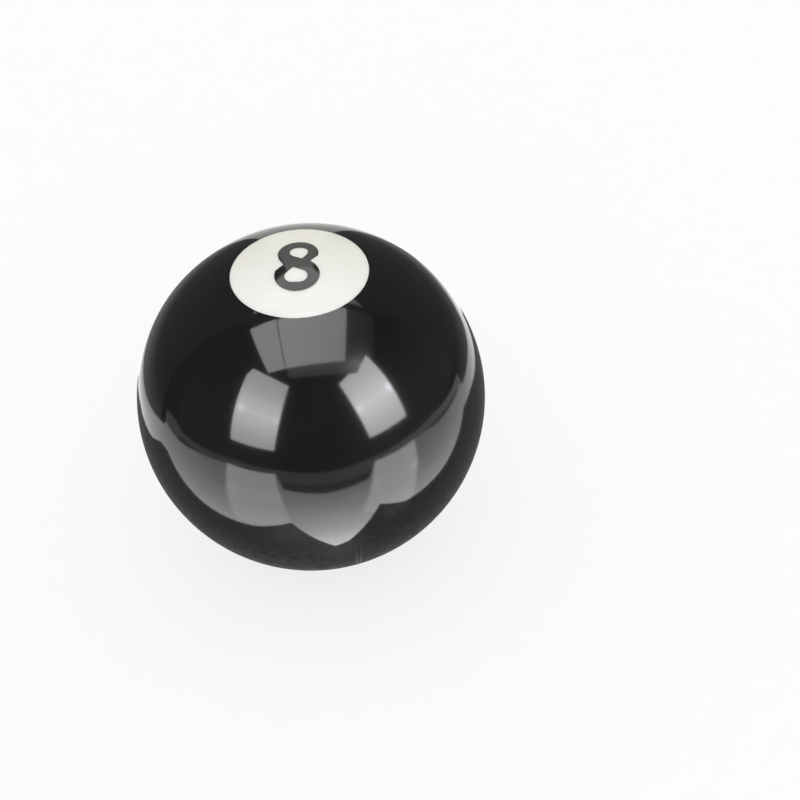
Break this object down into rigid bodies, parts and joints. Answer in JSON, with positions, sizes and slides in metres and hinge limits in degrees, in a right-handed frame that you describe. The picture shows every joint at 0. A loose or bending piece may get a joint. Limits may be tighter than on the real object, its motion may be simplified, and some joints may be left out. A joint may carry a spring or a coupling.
{
  "type": "numbered pool ball",
  "caption": "Solid black resin pool ball with a round white spot on each of two opposite sides, each inlaid with a black numeral.",
  "frame": {"origin": "the ball's centre", "axes": "+Z out through the middle of the front plug, +Y towards the top of the front numeral, +X to the right of the front numeral; the back numeral's top also points to +Y"},
  "size_m": [0.0524, 0.0524, 0.0524],
  "materials": {
    "black_resin": "polished to a mirror gloss",
    "white_resin": "polished, slightly translucent cream white",
    "numeral_black": "polished flush with the white resin"
  },
  "bodies": {
    "root": {"ball_body": "black_resin", "front_number_plug": "white_resin", "back_number_plug": "white_resin", "front_numeral": "numeral_black", "back_numeral": "numeral_black"}
  },
  "joints": []
}
